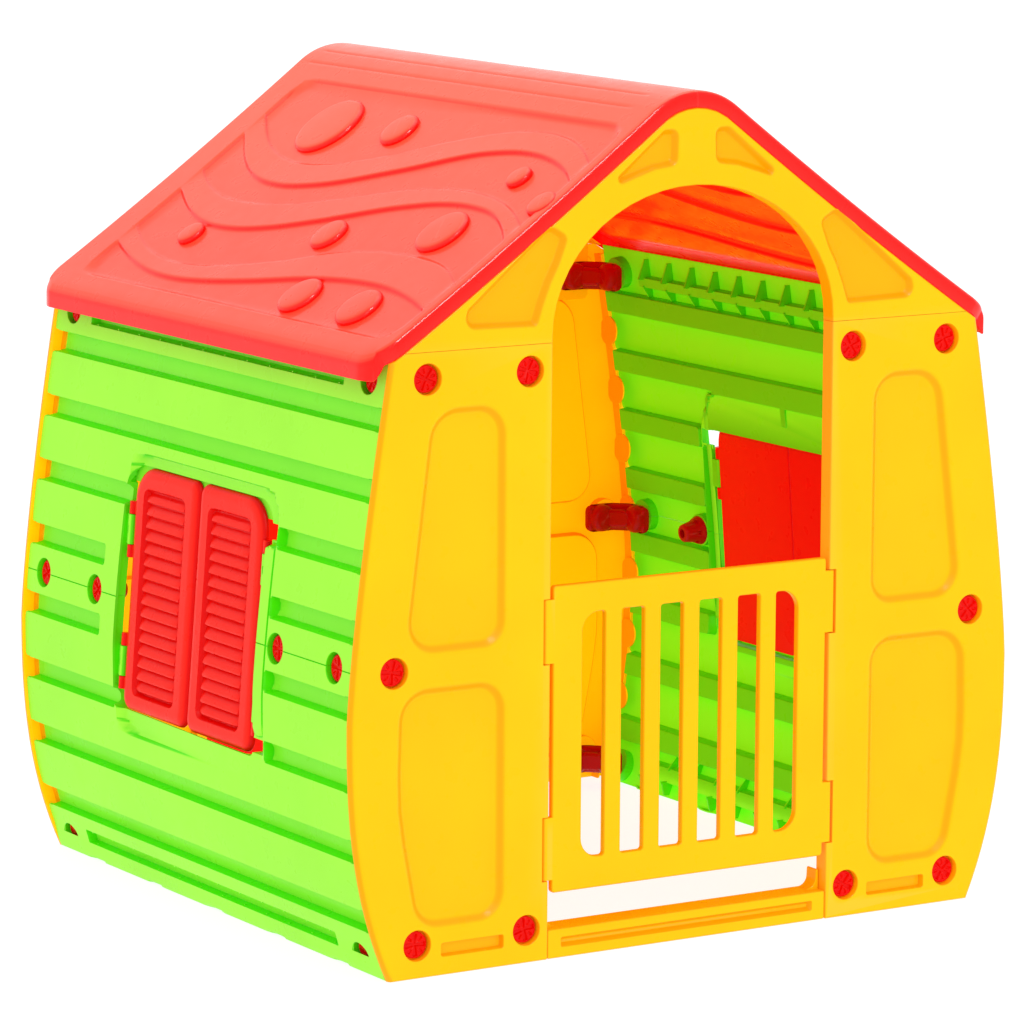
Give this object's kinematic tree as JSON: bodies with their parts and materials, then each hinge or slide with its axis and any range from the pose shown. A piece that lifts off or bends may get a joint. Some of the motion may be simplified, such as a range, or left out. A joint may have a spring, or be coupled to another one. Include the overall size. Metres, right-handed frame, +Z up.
{
  "type": "plastic playhouse",
  "caption": "Child's walk-in playhouse of bowed plastic walls, pitched roof, arched doorways, slotted half gate, back door and opening window shutters.",
  "frame": {"origin": "on the floor under the middle of the house", "axes": "+Z up, +X to the right seen from the front, the front faces -Y"},
  "size_m": [1.005, 0.9, 1.09],
  "materials": {
    "yellow_plastic": "moulded, satin gloss",
    "green_plastic": "moulded, satin gloss",
    "red_plastic": "moulded, satin gloss",
    "screw_plastic": "moulded, gloss",
    "clip_plastic": "moulded, gloss"
  },
  "bodies": {
    "house": {"front_panel_left": "yellow_plastic", "front_panel_right": "yellow_plastic", "back_panel_left": "yellow_plastic", "back_panel_right": "yellow_plastic", "front_gable": "yellow_plastic", "back_gable": "yellow_plastic", "front_sill": "yellow_plastic", "back_sill": "yellow_plastic", "left_wall_lower": "green_plastic", "left_wall_upper": "green_plastic", "right_wall_lower": "green_plastic", "right_wall_upper": "green_plastic", "roof_left": "red_plastic", "roof_right": "red_plastic", "clip_front_left_top": "clip_plastic", "clip_front_left_mid": "clip_plastic", "clip_front_left_low": "clip_plastic", "clip_front_right_top": "clip_plastic", "clip_front_right_mid": "clip_plastic", "clip_front_right_low": "clip_plastic", "clip_back_left_top": "clip_plastic", "clip_back_left_mid": "clip_plastic", "clip_back_left_low": "clip_plastic", "clip_back_right_top": "clip_plastic", "clip_back_right_mid": "clip_plastic", "clip_back_right_low": "clip_plastic", "front_screw_left_1": "screw_plastic", "front_screw_left_2": "screw_plastic", "front_screw_left_3": "screw_plastic", "front_screw_left_4": "screw_plastic", "front_screw_left_5": "screw_plastic", "front_screw_right_1": "screw_plastic", "front_screw_right_2": "screw_plastic", "front_screw_right_3": "screw_plastic", "front_screw_right_4": "screw_plastic", "front_screw_right_5": "screw_plastic", "back_screw_left_1": "screw_plastic", "back_screw_left_2": "screw_plastic", "back_screw_left_3": "screw_plastic", "back_screw_left_4": "screw_plastic", "back_screw_left_5": "screw_plastic", "back_screw_right_1": "screw_plastic", "back_screw_right_2": "screw_plastic", "back_screw_right_3": "screw_plastic", "back_screw_right_4": "screw_plastic", "back_screw_right_5": "screw_plastic", "left_screw_front_1": "screw_plastic", "left_screw_front_2": "screw_plastic", "left_screw_rear_1": "screw_plastic", "left_screw_rear_2": "screw_plastic", "right_screw_front_1": "screw_plastic", "right_screw_front_2": "screw_plastic", "right_screw_rear_1": "screw_plastic", "right_screw_rear_2": "screw_plastic"},
    "gate": {"front_gate": "yellow_plastic"},
    "back_door": {"back_door": "red_plastic"},
    "left_shutter_front": {"left_shutter_front": "red_plastic"},
    "left_shutter_rear": {"left_shutter_rear": "red_plastic"},
    "right_shutter_front": {"right_shutter_front": "red_plastic"},
    "right_shutter_rear": {"right_shutter_rear": "red_plastic"}
  },
  "joints": [
    {"name": "gate_hinge", "type": "hinge", "parent": "house", "child": "gate", "pos_m": [-0.2165, -0.4445, 0.282], "axis": [0, 0, -1], "range_deg": [0, 100]},
    {"name": "back_door_hinge", "type": "hinge", "parent": "house", "child": "back_door", "pos_m": [0.2165, 0.4445, 0.5], "axis": [0, 0, -1], "range_deg": [0, 100]},
    {"name": "left_shutter_front_hinge", "type": "hinge", "parent": "house", "child": "left_shutter_front", "pos_m": [-0.47785, -0.185, 0.4075], "axis": [0.0777, 0, 0.997], "range_deg": [0, 100]},
    {"name": "left_shutter_rear_hinge", "type": "hinge", "parent": "house", "child": "left_shutter_rear", "pos_m": [-0.47785, 0.175, 0.4075], "axis": [-0.0777, 0, -0.997], "range_deg": [0, 100]},
    {"name": "right_shutter_front_hinge", "type": "hinge", "parent": "house", "child": "right_shutter_front", "pos_m": [0.47785, -0.175, 0.4075], "axis": [0.0777, 0, -0.997], "range_deg": [0, 100]},
    {"name": "right_shutter_rear_hinge", "type": "hinge", "parent": "house", "child": "right_shutter_rear", "pos_m": [0.47785, 0.185, 0.4075], "axis": [-0.0777, 0, 0.997], "range_deg": [0, 100]}
  ]
}
